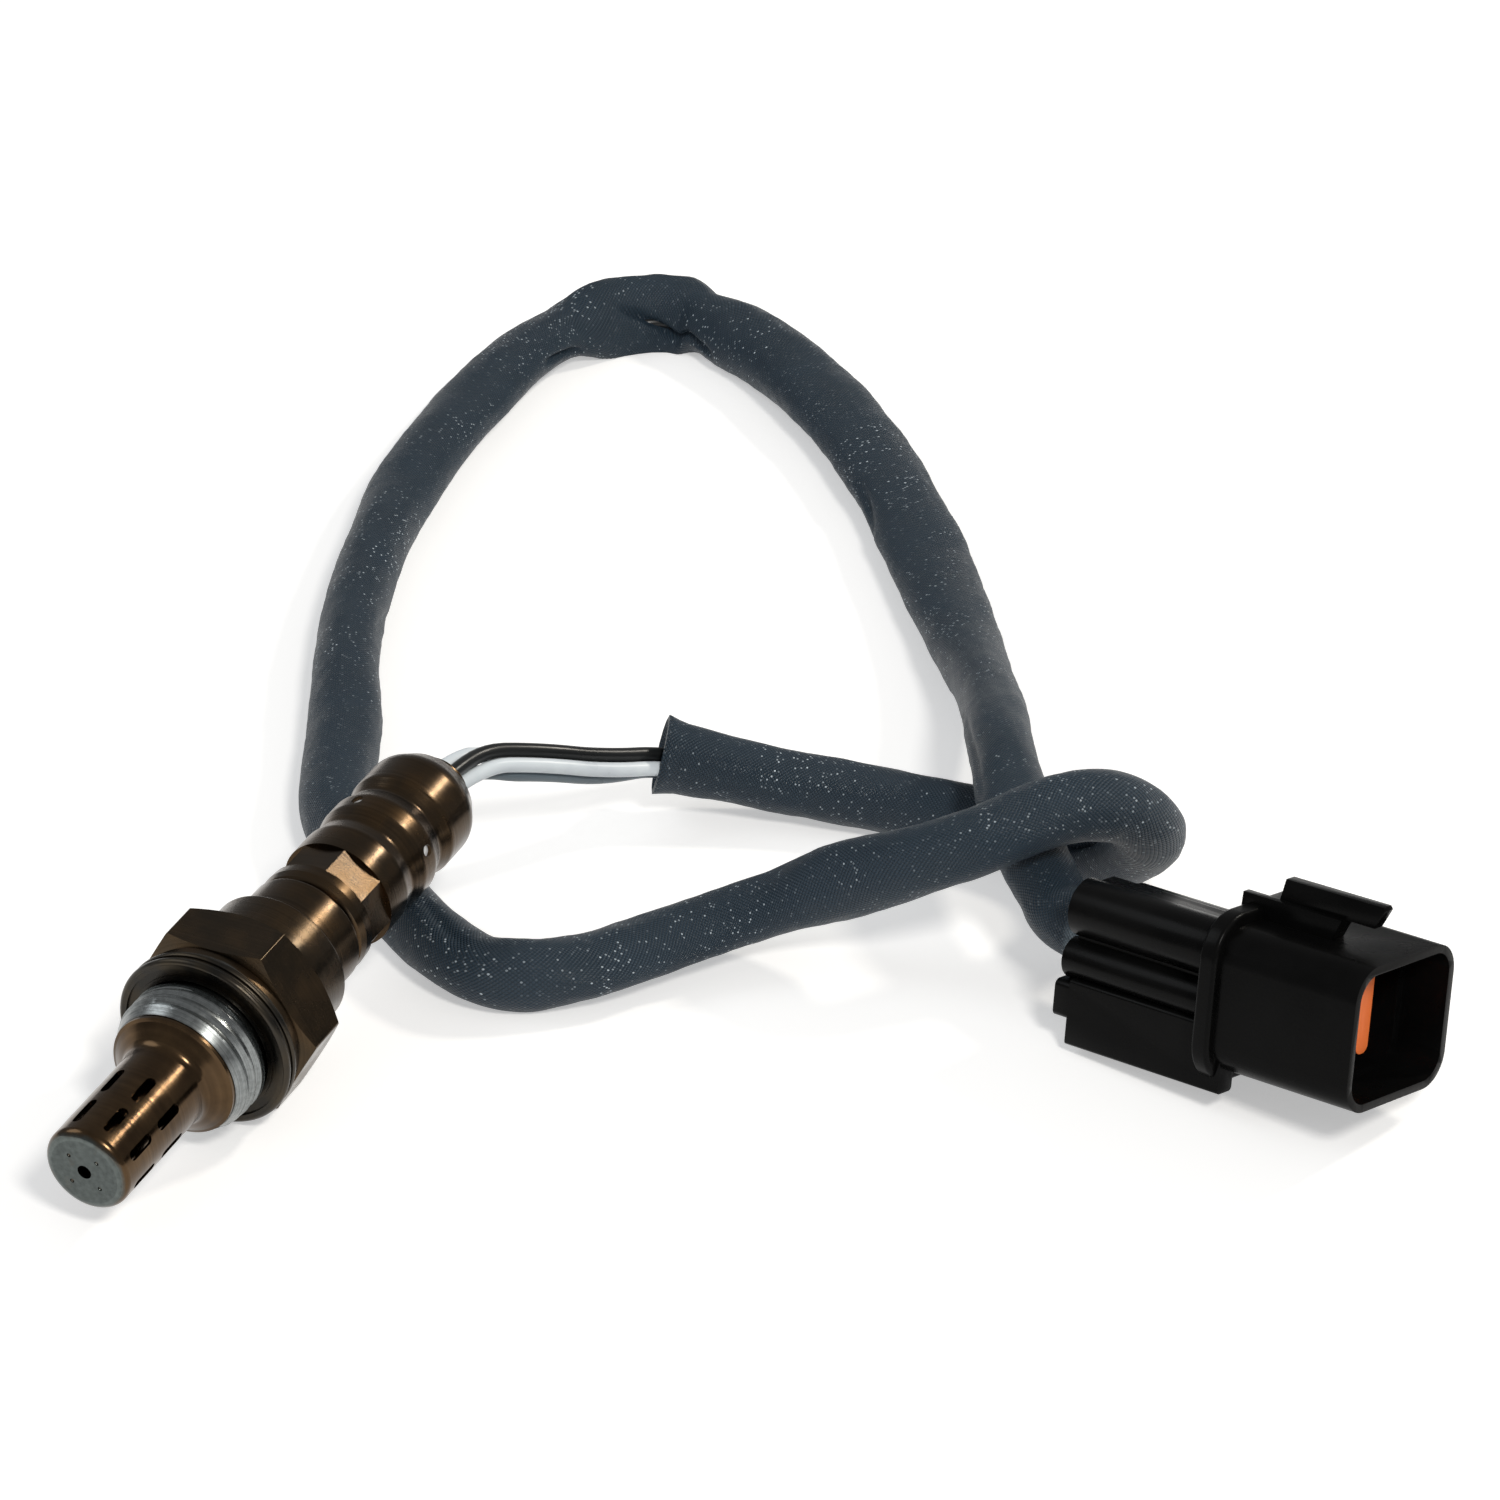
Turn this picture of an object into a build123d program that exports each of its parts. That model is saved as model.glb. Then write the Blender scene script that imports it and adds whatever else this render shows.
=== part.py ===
from build123d import *
import math
import os

# Heated four-wire oxygen sensor with its harness, lying at rest on z = 0.
# The head is built along its own axis: X is the distance s from the flat tip face.
# Angles round the head are measured from straight up towards -Y.

# ---- head: driving dimensions (mm) ----
REST_TILT = 5.4            # nose-down slope of the head, degrees
TIP_X = -40.8              # tip face, so that the head is centred on the origin
RIDGE_S = 26.35            # front ridge of the gasket, which touches the ground
RIDGE_R = 10.85
RIDGE_ROUND = 0.55

TUBE_R = 5.45
TUBE_WALL = 0.45
TIP_HOLE_R = 0.9
TIP_ROUND = 1.15
DIMPLE_R = 0.45
DIMPLE_PITCH_R = 2.6
SLOT_LENGTH = 4.3
SLOT_WIDTH = 1.25
SLOT_S = (4.35, 10.3)
SLOT_COUNT = 8
SLOT_ANGLE = 23.0

THREAD_R = 9.0             # M18 x 1.5, shown as its outside diameter
THREAD_START = 21.6        # behind the taper of the nose
THREAD_END = 24.7
NOSE_R = 8.1
FLANGE_S = 19.2            # front edge of the tube's flange, which covers the nose
THREAD_RELIEF_R = 8.3
HEX_ACROSS_FLATS = 22.0
HEX_CORNER_R = 0.4
HEX_FRONT = 29.4
HEX_REAR = 36.6
COLLAR_R = 9.05
COLLAR_REAR = 43.3
SLEEVE_COLLAR_R = 7.5
SLEEVE_COLLAR_REAR = 49.4

COVER_R = 7.3
COVER_WALL = 0.45
CRIMP_START = 52.6
CRIMP_END = 57.1
CRIMP_FLATS = 8
CRIMP_APOTHEM = 6.75
CRIMP_ANGLE = 35.5
VENT_S = 66.7
VENT_R = 0.75
VENT_ANGLE = -17.0
NECK_R = 3.95
NECK_END = 82.0

# ---- harness: driving dimensions (mm) ----
WIRE_R = 0.95
WIRE_PITCH = 1.05          # half the spacing of the 2 x 2 bundle
BUNDLE_ANGLE = -8.6        # turn of the bundle, so that it meets the cavities untwisted
CAVITY_PITCH = 2.7         # half the spacing of the wires in the connector
SLEEVE_R = 4.2
SLEEVE_BORE_R = 3.6
BEND_SHARE = 0.45          # share of the shorter run that each arc takes

# ---- connector: driving dimensions (mm) ----
PLUG_ORIGIN = (46.5, -124.0, 14.07)  # centre of the mouth
PLUG_YAW = -102.7
PLUG_PITCH = 5.6
PLUG_ROLL = 13.3
PLUG_WIDTH = 20.3
PLUG_HEIGHT = 17.7
PLUG_CORNER_R = 4.0
PLUG_WALL = 1.0
MOUTH_DEPTH = 15.0
MOUTH_STEP = -6.0
FLANGE_REAR = -21.2
FLANGE_FRONT = -18.7
REAR_FACE = -42.0
CAVITY_R = 2.35

# The corners of the harness's centre line between the head and the connector.
ROUTE = [
    (55.5, -6, 14.5), (63, -10.5, 11),
    (71.5, -14.5, 8.5), (76, -24, 6), (80, -36.5, 4.25), (81.5, -51.5, 4.25),
    (82, -63, 4.25), (80, -72, 4.6), (77.5, -80, 8.5), (74, -83, 15),
    (69.5, -80, 20.8), (63.5, -73.5, 22.2), (56.5, -68, 20.8), (51.5, -61, 17.5),
    (50, -51, 12), (47.5, -41.5, 7), (40.5, -33, 4.25), (29.5, -27, 4.25),
    (22, -19, 4.25), (24.7, -8.6, 4.25), (34.5, 5.2, 4.25), (45.5, 19, 4.25),
    (64.5, 27.5, 4.25), (83, 38.5, 4.25), (105.5, 48, 4.25), (130.5, 55.5, 4.25),
    (156, 59, 4.25), (175.5, 59.5, 4.25), (185, 54, 4.25), (191.5, 46.5, 4.25),
    (190, 36.5, 4.25), (183.5, 23.5, 4.25), (171.5, 8, 4.25), (153.5, -9, 4.25),
    (134, -24, 4.25), (115, -37.5, 6), (98, -48.5, 10.5), (87, -54, 13.6),
    (75.5, -61, 13.9), (65.3, -67.6, 12.3), (60, -72.6, 10.6),
]
WIRE_START = 77.5          # along the head: where the wires leave their holes in the
FIRST_BEND = 88.0          # grommet, and their first corner
LAST_BEND = -48.85         # along the connector: the harness's last corner
SLEEVE_FIRST = 4           # the sleeve starts at this corner
WIRE_SPREAD = -43.6        # along the connector, from its mouth: where each wire turns
WIRE_END = -35.0           # into its cavity, and where it ends
SLEEVE_END = -43.2         # the flared end of the sleeve
FLARE_LENGTH = 3.3
FLARE_R = 5.7

tilt = math.radians(REST_TILT)
TIP_Z = RIDGE_R * math.cos(tilt) + RIDGE_ROUND - RIDGE_S * math.sin(tilt)
HEAD = Location((TIP_X, 0, TIP_Z)) * Rotation(0, -REST_TILT, 0)


# ---- shared helpers ----
def turned(points, rounds=None):
    """A solid turned about X from a closed outline of (s, radius) points."""
    radii = [0.0] * (len(points) - 2)
    for index, radius in (rounds or {}).items():
        radii[index - 1] = radius
    outline = FilletPolyline(*points, radius=radii)
    last, first = points[-1], points[0]
    return revolve(make_face(outline.edges() + [Line(last, first)]), Axis.X)


def tube(start, end, outer, inner):
    """A plain ring or tube along X."""
    return turned([(start, inner), (start, outer), (end, outer), (end, inner)])


def radial_plane(s, angle):
    """A plane that looks outwards from the axis at s, at an angle from straight up."""
    turn = math.radians(angle)
    outwards = (0, -math.sin(turn), math.cos(turn))
    return Plane(origin=(s, 0, 0), x_dir=(1, 0, 0), z_dir=outwards)


def radial_holes(shape, s, angle, count, near, far):
    """The prisms of a hole's outline pushed outwards, evenly spaced round the axis."""
    holes = []
    for index in range(count):
        plane = radial_plane(s, angle + index * 360 / count)
        holes.append(extrude(plane.offset(near) * shape, far - near))
    return holes


# ---- head: front end ----
def outer_protector():
    """Deep-drawn tip tube with its slots, its flat end and its flared root."""
    skin = turned(
        [(0, TIP_HOLE_R), (0, TUBE_R), (17.4, TUBE_R), (19.0, 7.6), (FLANGE_S, NOSE_R - 0.1),
         (19.65, NOSE_R - 0.1), (19.65, 7.3), (17.3, TUBE_R - TUBE_WALL),
         (TUBE_WALL, TUBE_R - TUBE_WALL), (TUBE_WALL, TIP_HOLE_R)],
        {1: TIP_ROUND, 2: 1.6, 7: 1.9, 8: TIP_ROUND - TUBE_WALL})
    slot = SlotOverall(SLOT_LENGTH, SLOT_WIDTH)
    for index, s in enumerate(SLOT_S):
        skin -= radial_holes(slot, s, SLOT_ANGLE, SLOT_COUNT, 3.0, 7.0)
    for index in range(4):
        turn = math.radians(45 + 90 * index)
        place = (0, DIMPLE_PITCH_R * math.cos(turn), DIMPLE_PITCH_R * math.sin(turn))
        skin -= Pos(*place) * Rotation(0, 90, 0) * Sphere(DIMPLE_R * 0.6)
    return skin


def inner_protector():
    """Closed inner tube, which shows through the slots, with its own gas holes."""
    radius, wall = 3.75, 0.35
    skin = turned(
        [(1.7, 0), (1.7, radius), (19.7, radius), (19.7, 6.8), (20.1, 6.8),
         (20.1, radius - wall), (1.7 + wall, radius - wall), (1.7 + wall, 0)],
        {1: 0.9, 6: 0.6})
    skin -= radial_holes(Circle(0.5), 7.4, SLOT_ANGLE + 22.5, 4, 1.0, 5.0)
    skin -= radial_holes(Circle(0.5), 14.0, SLOT_ANGLE + 22.5, 4, 1.0, 5.0)
    return skin


def metal_shell():
    """Nose, thread band, hexagon and collar, turned and milled from one bar."""
    body = turned(
        [(19.7, 6.9), (19.7, NOSE_R), (THREAD_START, THREAD_R), (THREAD_END, THREAD_R),
         (25.2, THREAD_RELIEF_R), (26.1, THREAD_RELIEF_R), (28.25, 8.7), (28.25, 10.8),
         (HEX_FRONT, 10.8), (HEX_FRONT + 1.0, 13.0), (HEX_REAR - 1.4, 13.0),
         (HEX_REAR, 11.0), (HEX_REAR, COLLAR_R), (COLLAR_REAR, COLLAR_R), (COLLAR_REAR, 7.15),
         (40.15, 7.15), (40.15, 5.3), (39.35, 5.3), (39.35, 6.0), (23.0, 6.0), (23.0, 4.9),
         (20.15, 4.9), (20.15, 6.9)],
        {7: 0.25, 12: 0.5, 13: 0.35})
    flats = RegularPolygon(HEX_ACROSS_FLATS / 2, 6, major_radius=False)
    flats = fillet(flats.vertices(), HEX_CORNER_R)
    prism = extrude(Plane.YZ.offset(HEX_FRONT - 0.2) * flats, HEX_REAR - HEX_FRONT + 0.4)
    band = tube(HEX_FRONT + 0.001, HEX_REAR - 0.001, 14.0, 10.85)
    return body - (band - prism)


def gasket():
    """Folded crush washer: a sheet ring with two rolled ridges and a groove between."""
    rear_s = RIDGE_S + 1.3
    body = turned([(25.75, 8.75), (25.75, RIDGE_R), (28.2, RIDGE_R), (28.2, 8.75)])
    groove = Pos(RIDGE_S + 0.65, 0, 0) * Rotation(0, 90, 0) * Torus(RIDGE_R + 0.25, 0.3)
    front = Pos(RIDGE_S, 0, 0) * Rotation(0, 90, 0) * Torus(RIDGE_R, RIDGE_ROUND)
    rear = Pos(rear_s, 0, 0) * Rotation(0, 90, 0) * Torus(RIDGE_R - 0.05, RIDGE_ROUND)
    recess = tube(25.6, 26.05, 10.3, 9.3)
    return body + front + rear - groove - recess


# ---- head: sealed inner pieces ----
def sensing_element():
    """Zirconia thimble, closed at the tip, with the shoulder that it seals on."""
    return turned(
        [(3.4, 0), (3.4, 2.4), (21.0, 2.6), (23.7, 4.4), (23.7, 5.7), (28.6, 5.7),
         (29.0, 4.6), (40.9, 4.6), (40.9, 2.0), (24.0, 2.0), (5.6, 1.45), (5.6, 0)],
        {1: 2.2, 10: 1.0})


def seal_stack():
    """The ring pieces that hold the element in the shell, from the tip backwards."""
    return {
        "seal_washer": tube(23.05, 23.65, 5.9, 4.95),
        "talc_packing": tube(29.15, 33.5, 5.95, 4.65),
        "ceramic_bushing": tube(33.55, 38.0, 5.95, 4.65),
        "crimp_ring": tube(38.05, 39.3, 5.95, 4.65),
    }


def heater_rod():
    """Ceramic rod heater inside the thimble, with a domed end."""
    return turned([(7.2, 0), (7.2, 1.3), (47.0, 1.3), (47.0, 0)], {1: 0.9})


def ceramic_insulator():
    """Upper insulator with one passage for each terminal."""
    body = turned([(50.9, 0), (50.9, 5.5), (66.0, 5.5), (66.0, 0)], {1: 0.5, 2: 0.5})
    for side, up in wire_places():
        body -= Pos(50.0, side, up) * Rotation(0, 90, 0) * Cylinder(
            0.75, 17.0, align=(Align.CENTER, Align.CENTER, Align.MIN))
    return body


def wire_places():
    """The four places of the 2 x 2 bundle as (Y, Z) offsets from the head's axis."""
    turn = math.radians(BUNDLE_ANGLE)
    places = []
    for a, b in ((-1, 1), (1, 1), (1, -1), (-1, -1)):
        side, up = a * WIRE_PITCH, b * WIRE_PITCH
        places.append((side * math.cos(turn) - up * math.sin(turn),
                       side * math.sin(turn) + up * math.cos(turn)))
    return places


def head_terminals():
    """Crimped terminals between the wires and the element or heater."""
    names = ("signal_terminal_inner", "signal_terminal_outer",
             "heater_terminal_a", "heater_terminal_b")
    pieces = {}
    for name, (side, up) in zip(names, wire_places()):
        barrel = Pos(66.2, side, up) * Rotation(0, 90, 0) * Cylinder(
            0.9, 4.2, align=(Align.CENTER, Align.CENTER, Align.MIN))
        strip = Pos(57.0, side, up) * Box(18.8, 0.7, 0.7)
        pieces[name] = barrel + strip
    return pieces


# ---- head: rear end ----
def base_sleeve():
    """Steel sleeve welded into the shell, with a rolled rear rim."""
    return turned(
        [(40.3, 6.6), (40.3, 7.05), (43.4, 7.05), (43.4, SLEEVE_COLLAR_R),
         (SLEEVE_COLLAR_REAR, SLEEVE_COLLAR_R), (SLEEVE_COLLAR_REAR, 6.6)],
        {4: 0.4})


def outer_cover():
    """Drawn cover: weld ring, eight crimp flats, three bulges, shoulder and neck."""
    wall = COVER_WALL
    cover = turned(
        [(44.5, 6.1), (44.5, 6.52), (49.7, 6.52), (50.2, 7.2), (51.2, 7.38), (52.4, COVER_R),
         (58.6, COVER_R + 0.05), (61.0, 7.35), (63.0, 6.85), (65.4, 7.42), (67.9, 7.42),
         (70.35, 6.5), (72.4, 7.25), (77.3, 7.25), (80.1, 5.6), (80.7, NECK_R),
         (NECK_END, NECK_R), (NECK_END, NECK_R - wall),
         (80.4, NECK_R - wall), (79.8, 5.2), (77.0, 7.25 - wall), (72.7, 7.25 - wall),
         (70.35, 6.5 - wall), (67.7, 7.42 - wall), (65.6, 7.42 - wall), (63.0, 6.85 - wall),
         (60.8, 7.35 - wall), (57.4, 6.85), (57.2, 6.3), (50.4, 6.3), (50.0, 6.1)],
        {7: 1.6, 8: 1.3, 9: 1.6, 10: 1.6, 11: 1.0, 12: 1.4, 13: 3.2, 14: 1.1, 15: 0.5,
         16: 0.15, 18: 0.3, 19: 0.6, 20: 2.6, 21: 1.0, 22: 0.7, 23: 1.0, 24: 1.0,
         25: 0.9, 26: 1.0})
    octagon = Rotation(0, 0, CRIMP_ANGLE + 180 / CRIMP_FLATS) * RegularPolygon(
        CRIMP_APOTHEM, CRIMP_FLATS, major_radius=False)
    prism = extrude(Plane.YZ.offset(CRIMP_START - 1) * octagon, CRIMP_END - CRIMP_START + 2)
    cover -= tube(CRIMP_START, CRIMP_END, 9.0, 6.5) - prism
    cover -= radial_holes(Circle(VENT_R), VENT_S, VENT_ANGLE, 4, 6.0, 8.5)
    return cover


def inner_cover():
    """Inner tube that carries the insulator behind the vent filter."""
    return tube(50.8, 69.6, 6.02, 5.65)


def vent_filter():
    """White porous sleeve behind the four vent holes."""
    return turned([(65.3, 6.1), (65.3, 6.85), (67.9, 6.85), (67.9, 6.1)], {1: 0.3, 2: 0.3})


def grommet():
    """Rubber plug in the rear of the cover, with a hole for each wire."""
    plug = turned([(70.6, 0), (70.6, 5.9), (76.4, 5.9), (79.6, 3.4), (81.8, 3.4), (81.8, 0)],
                  {1: 0.4, 2: 1.5, 3: 0.8})
    for side, up in wire_places():
        plug -= Pos(70.0, side, up) * Rotation(0, 90, 0) * Cylinder(
            WIRE_R + 0.01, 13.0, align=(Align.CENTER, Align.CENTER, Align.MIN))
    return plug


# ---- connector ----
def plug_place():
    """Where the connector lies: X out of its mouth, Y to its left, Z to its lock side."""
    yaw, pitch, roll = (math.radians(v) for v in (PLUG_YAW, PLUG_PITCH, PLUG_ROLL))
    out = Vector(math.cos(yaw) * math.cos(pitch), math.sin(yaw) * math.cos(pitch),
                 math.sin(pitch))
    left = Vector(0, 0, 1).cross(out).normalized()
    top = out.cross(left) * math.cos(roll) + left * math.sin(roll)
    return Location(Plane(origin=PLUG_ORIGIN, x_dir=out, z_dir=top))


PLUG = plug_place()


def block(u_start, u_end, shape):
    """A flat outline in the connector's cross-section, pushed along its length."""
    return extrude(Plane.YZ.offset(u_start) * shape, u_end - u_start)


def side_profile(points, v_start, v_end):
    """A side outline of (u, w) points, pushed across the connector."""
    return extrude(Plane.XZ.offset(-v_end) * make_face(Polyline(*points, close=True)),
                   v_end - v_start)


def lock_ribs():
    """Low rib on top of the housing and a taller one that overhangs its front end."""
    low = side_profile([(-22.0, 7.8), (-21.8, 11.5), (-7.9, 11.5), (-9.3, 8.4)], -2.6, -1.5)
    low += side_profile([(-17.5, 8.4), (-17.3, 11.5), (-7.9, 11.5), (-9.3, 8.4)], -1.6, 0.0)
    high = side_profile([(-17.3, 11.4), (-16.7, 14.1), (-3.1, 14.2), (-2.8, 13.8), (-4.0, 11.4)],
                        -1.6, 0.0)
    return low + high


def rear_core():
    """The middle of the rear body, lower on the far side, and its flat-sided keel."""
    start, end = REAR_FACE + 0.7, FLANGE_FRONT
    core = block(start, end, Pos(-1.3, -0.85) * RectangleRounded(11.8, 13.7, 0.8))
    core += block(start, end, Pos(5.2, -2.4) * RectangleRounded(4.0, 10.6, 0.8))
    core += block(start, end, Pos(-3.85, 6.4) * RectangleRounded(6.7, 3.0, 0.8))
    core += block(REAR_FACE + 1.5, end + 0.5, Pos(-7.85, -7.2) * RectangleRounded(2.9, 8.2, 0.5))
    return core


def rear_block():
    """Rear body: two barrels and a flat-sided block down each side of the core."""
    start, end = REAR_FACE, FLANGE_FRONT
    body = rear_core()
    body += block(start + 0.3, end, Pos(-5.75, 4.95) * Circle(3.55))
    body += block(start + 0.3, end, Pos(4.9, 2.6) * Circle(3.1))
    for side in (-1, 1):
        body += block(start, end, Pos(side * 6.8, -1.1) * Circle(2.5))
        body += block(start - 0.6, end, Pos(side * 6.3, -5.9) * RectangleRounded(6.0, 4.6, 0.8))
    return body


def connector_housing():
    """Moulded housing: shroud, flange ring, lock, rear barrels, mouth and cavities."""
    shroud = block(FLANGE_REAR, 0, RectangleRounded(PLUG_WIDTH, PLUG_HEIGHT, PLUG_CORNER_R))
    flange = block(FLANGE_REAR, FLANGE_FRONT, RectangleRounded(PLUG_WIDTH + 2.8, 20.8, 5.4))
    flange = fillet(flange.edges().filter_by(Axis.X, reverse=True), 0.6)
    body = shroud + flange + rear_block() + lock_ribs()
    inside_width = PLUG_WIDTH - 2 * PLUG_WALL
    inside_height = PLUG_HEIGHT - 2 * PLUG_WALL
    body -= block(MOUTH_STEP, 0.1, RectangleRounded(inside_width, inside_height,
                                                    PLUG_CORNER_R - PLUG_WALL))
    body -= block(-MOUTH_DEPTH, MOUTH_STEP + 0.1,
                  RectangleRounded(inside_width - 2.4, inside_height - 1.5, 2.8))
    for side, up in cavity_places():
        cavity = Pos(side, up)
        body -= block(REAR_FACE - 1, -26.0, cavity * Circle(CAVITY_R))
        body -= block(-26.1, -MOUTH_DEPTH + 0.1, cavity * Rectangle(2.8, 2.8))
    return body


def cavity_places():
    """The four cavity centres in the connector's cross-section."""
    return [(a * CAVITY_PITCH, b * CAVITY_PITCH) for a, b in ((-1, 1), (1, 1), (1, -1), (-1, -1))]


def terminal_retainer():
    """Orange wedge in the mouth: a plate round the blades and a bar between them."""
    plate = block(-14.95, -13.4, RectangleRounded(13.6, 12.4, 1.2))
    bar = block(-13.5, -5.0, Pos(0, 0.7) * RectangleRounded(2.4, 10.4, 1.0))
    piece = plate + bar
    for side, up in cavity_places():
        piece -= block(-16, -13, Pos(side, up) * Rectangle(1.3, 2.9))
    return piece


def blade_terminal(side, up):
    """Blade, box and crimp barrel of one connector terminal."""
    blade = block(-18.0, -8.8, Pos(side, up) * Rectangle(0.8, 2.3))
    box = block(-25.9, -15.2, Pos(side, up) * Rectangle(2.5, 2.5))
    barrel = block(-34.9, -25.8, Pos(side, up) * Circle(1.2))
    return blade + box + barrel


def wire_seal(side, up):
    """Ribbed rubber seal round one wire."""
    seal = block(-40.9, -35.6, Pos(side, up) * Circle(CAVITY_R - 0.05))
    return seal - block(-41.2, -35.0, Pos(side, up) * Circle(WIRE_R + 0.01))


# ---- harness ----
def turn_angle(before, corner, after):
    return (corner - before).get_angle(after - corner)


def bend_radii(points):
    """Each arc takes the same share of its corner's shorter run."""
    radii = []
    for before, corner, after in zip(points, points[1:], points[2:]):
        run = min((corner - before).length, (after - corner).length)
        half = math.radians(turn_angle(before, corner, after)) / 2
        radii.append(BEND_SHARE * run / math.tan(half))
    return radii


def swept(points, radii, section):
    """A section carried along straight runs that are joined by tangent arcs."""
    path = FilletPolyline(*points, radius=radii)
    start = Plane(origin=points[0], z_dir=points[1] - points[0])
    return sweep(start * section, path=path), path.length


def beside(points, radii, side, up):
    """The route of one wire that keeps its place in the bundle round every corner."""
    forward = (points[1] - points[0]).normalized()
    across = Vector(0, 1, 0)
    offset = across * side + across.cross(forward) * -up
    route = [points[0] + offset]
    arcs = []
    for index in range(1, len(points) - 1):
        following = (points[index + 1] - points[index]).normalized()
        axis = forward.cross(following).normalized()
        inwards, inwards_next = axis.cross(forward), axis.cross(following)
        along_axis = offset.dot(axis)
        along_turn = offset.dot(inwards)
        mitre = (inwards + inwards_next) * (1 / (1 + inwards.dot(inwards_next)))
        route.append(points[index] + axis * along_axis + mitre * along_turn)
        arcs.append(radii[index - 1] - along_turn)
        offset = axis * along_axis + inwards_next * along_turn
        forward = following
    route.append(points[-1] + offset)
    return route, arcs


def head_point(s):
    return (HEAD * Location((s, 0, 0))).position


def plug_point(u, side=0.0, up=0.0):
    return (PLUG * Location((u, side, up))).position


def protective_sleeve(centre):
    """The woven sleeve as a tube, with the flared end where it meets the connector."""
    route = centre[SLEEVE_FIRST:] + [plug_point(SLEEVE_END)]
    radii = bend_radii(route)
    start, wall = SLEEVE_END - FLARE_LENGTH, SLEEVE_R - SLEEVE_BORE_R
    route[-1] = plug_point(start)
    sleeve, length = swept(route, radii, Circle(SLEEVE_R) - Circle(SLEEVE_BORE_R))
    report_cord("sleeve", radii, length, sleeve.volume,
                math.pi * (SLEEVE_R ** 2 - SLEEVE_BORE_R ** 2))
    flare = turned([(start, SLEEVE_BORE_R), (start, SLEEVE_R), (SLEEVE_END, FLARE_R),
                    (SLEEVE_END, FLARE_R - wall)])
    return sleeve + PLUG * flare


def wires(centre):
    """The four wires from the grommet to their cavities in the connector."""
    route_ahead = centre + [plug_point(WIRE_SPREAD)]
    radii = bend_radii(route_ahead)
    cavities = cavity_places()
    names = ("black_wire", "white_wire_b", "grey_wire", "white_wire_a")
    pieces = {}
    for index, (name, (side, up)) in enumerate(zip(names, wire_places())):
        route, arcs = beside(route_ahead, radii, side, up)
        across, along = cavities[(index + 3) % 4]
        route[-1:] = [plug_point(WIRE_SPREAD, across, along), plug_point(WIRE_END, across, along)]
        arcs[-1:] = bend_radii(route[-4:])
        wire, length = swept(route, arcs, Circle(WIRE_R))
        report_cord(name, arcs, length, wire.volume, math.pi * WIRE_R ** 2)
        tail = Pos(71.0, side, up) * Rotation(0, 90, 0) * Cylinder(
            WIRE_R, 6.5, align=(Align.CENTER, Align.CENTER, Align.MIN))
        pieces[name] = wire + HEAD * tail
    return pieces


def harness():
    """The protective sleeve and the four wires inside it."""
    centre = [head_point(WIRE_START), head_point(FIRST_BEND)]
    centre += [Vector(*point) for point in ROUTE] + [plug_point(LAST_BEND)]
    return {"sleeve": protective_sleeve(centre)} | wires(centre)


def report_cord(name, radii, length, volume, area):
    print(name, "length", round(length, 1), "volume ratio", round(volume / (area * length), 4),
          "tightest", round(min(radii), 2))
    print("  radii", [round(r, 1) for r in radii])


# ---- all pieces ----
def head_pieces():
    pieces = {
        "outer_protector": outer_protector(),
        "inner_protector": inner_protector(),
        "metal_shell": metal_shell(),
        "gasket": gasket(),
        "sensing_element": sensing_element(),
        "heater_rod": heater_rod(),
        "ceramic_insulator": ceramic_insulator(),
        "base_sleeve": base_sleeve(),
        "outer_cover": outer_cover(),
        "inner_cover": inner_cover(),
        "vent_filter": vent_filter(),
        "grommet": grommet(),
    }
    pieces.update(seal_stack())
    pieces.update(head_terminals())
    return {name: HEAD * piece for name, piece in pieces.items()}


def connector_pieces():
    pieces = {
        "connector_housing": connector_housing(),
        "terminal_retainer": terminal_retainer(),
    }
    for index, (side, up) in enumerate(cavity_places(), start=1):
        pieces[f"blade_terminal_{index}"] = blade_terminal(side, up)
        pieces[f"wire_seal_{index}"] = wire_seal(side, up)
    return {name: PLUG * piece for name, piece in pieces.items()}


def main():
    os.makedirs("parts", exist_ok=True)
    pieces = head_pieces() | connector_pieces() | harness()
    for name, piece in pieces.items():
        export_step(piece, f"parts/{name}.step")


main()
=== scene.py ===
import math

import bpy
from mathutils import Matrix, Vector, noise


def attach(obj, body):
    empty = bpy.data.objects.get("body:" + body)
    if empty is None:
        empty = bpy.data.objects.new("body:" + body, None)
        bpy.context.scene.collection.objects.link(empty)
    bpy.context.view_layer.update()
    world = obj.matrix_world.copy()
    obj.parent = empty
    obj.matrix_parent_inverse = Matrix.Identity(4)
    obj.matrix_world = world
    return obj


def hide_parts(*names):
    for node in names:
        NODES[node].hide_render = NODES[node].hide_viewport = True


bl_info = {
    "name": "Oxygen Sensor",
    "version": (1, 0, 0),
    "blender": (4, 5, 0),
    "location": "View3D > Sidebar > Oxygen Sensor",
    "description": "Finishes the head, harness and connector of a heated oxygen sensor",
    "category": "Object",
}

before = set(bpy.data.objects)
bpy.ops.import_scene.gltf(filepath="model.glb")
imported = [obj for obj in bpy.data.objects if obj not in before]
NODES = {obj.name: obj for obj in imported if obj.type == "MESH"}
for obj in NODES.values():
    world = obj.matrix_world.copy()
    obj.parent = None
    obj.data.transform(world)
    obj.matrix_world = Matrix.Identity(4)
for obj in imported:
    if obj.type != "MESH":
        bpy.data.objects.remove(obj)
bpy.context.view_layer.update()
MM = 0.001

# The head's own axis: from the middle of the flat tip face towards the cable end.
TIP = Vector((-40.8, 0.0, 8.871)) * MM
HEAD_AXIS = Vector((0.99556, 0.0, 0.09411))
HEAD_LEFT = Vector((0.0, 1.0, 0.0))

# The thread, in mm: where the nose's taper, the full thread and its end lie from the tip,
# the radius of its crest and root, and how much the nose's radius grows in each mm.
TAPER_START, THREAD_START, THREAD_END = 20.0, 21.6, 24.7
CREST, ROOT = 9.0, 8.45
NOSE_SLOPE = 0.474

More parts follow.
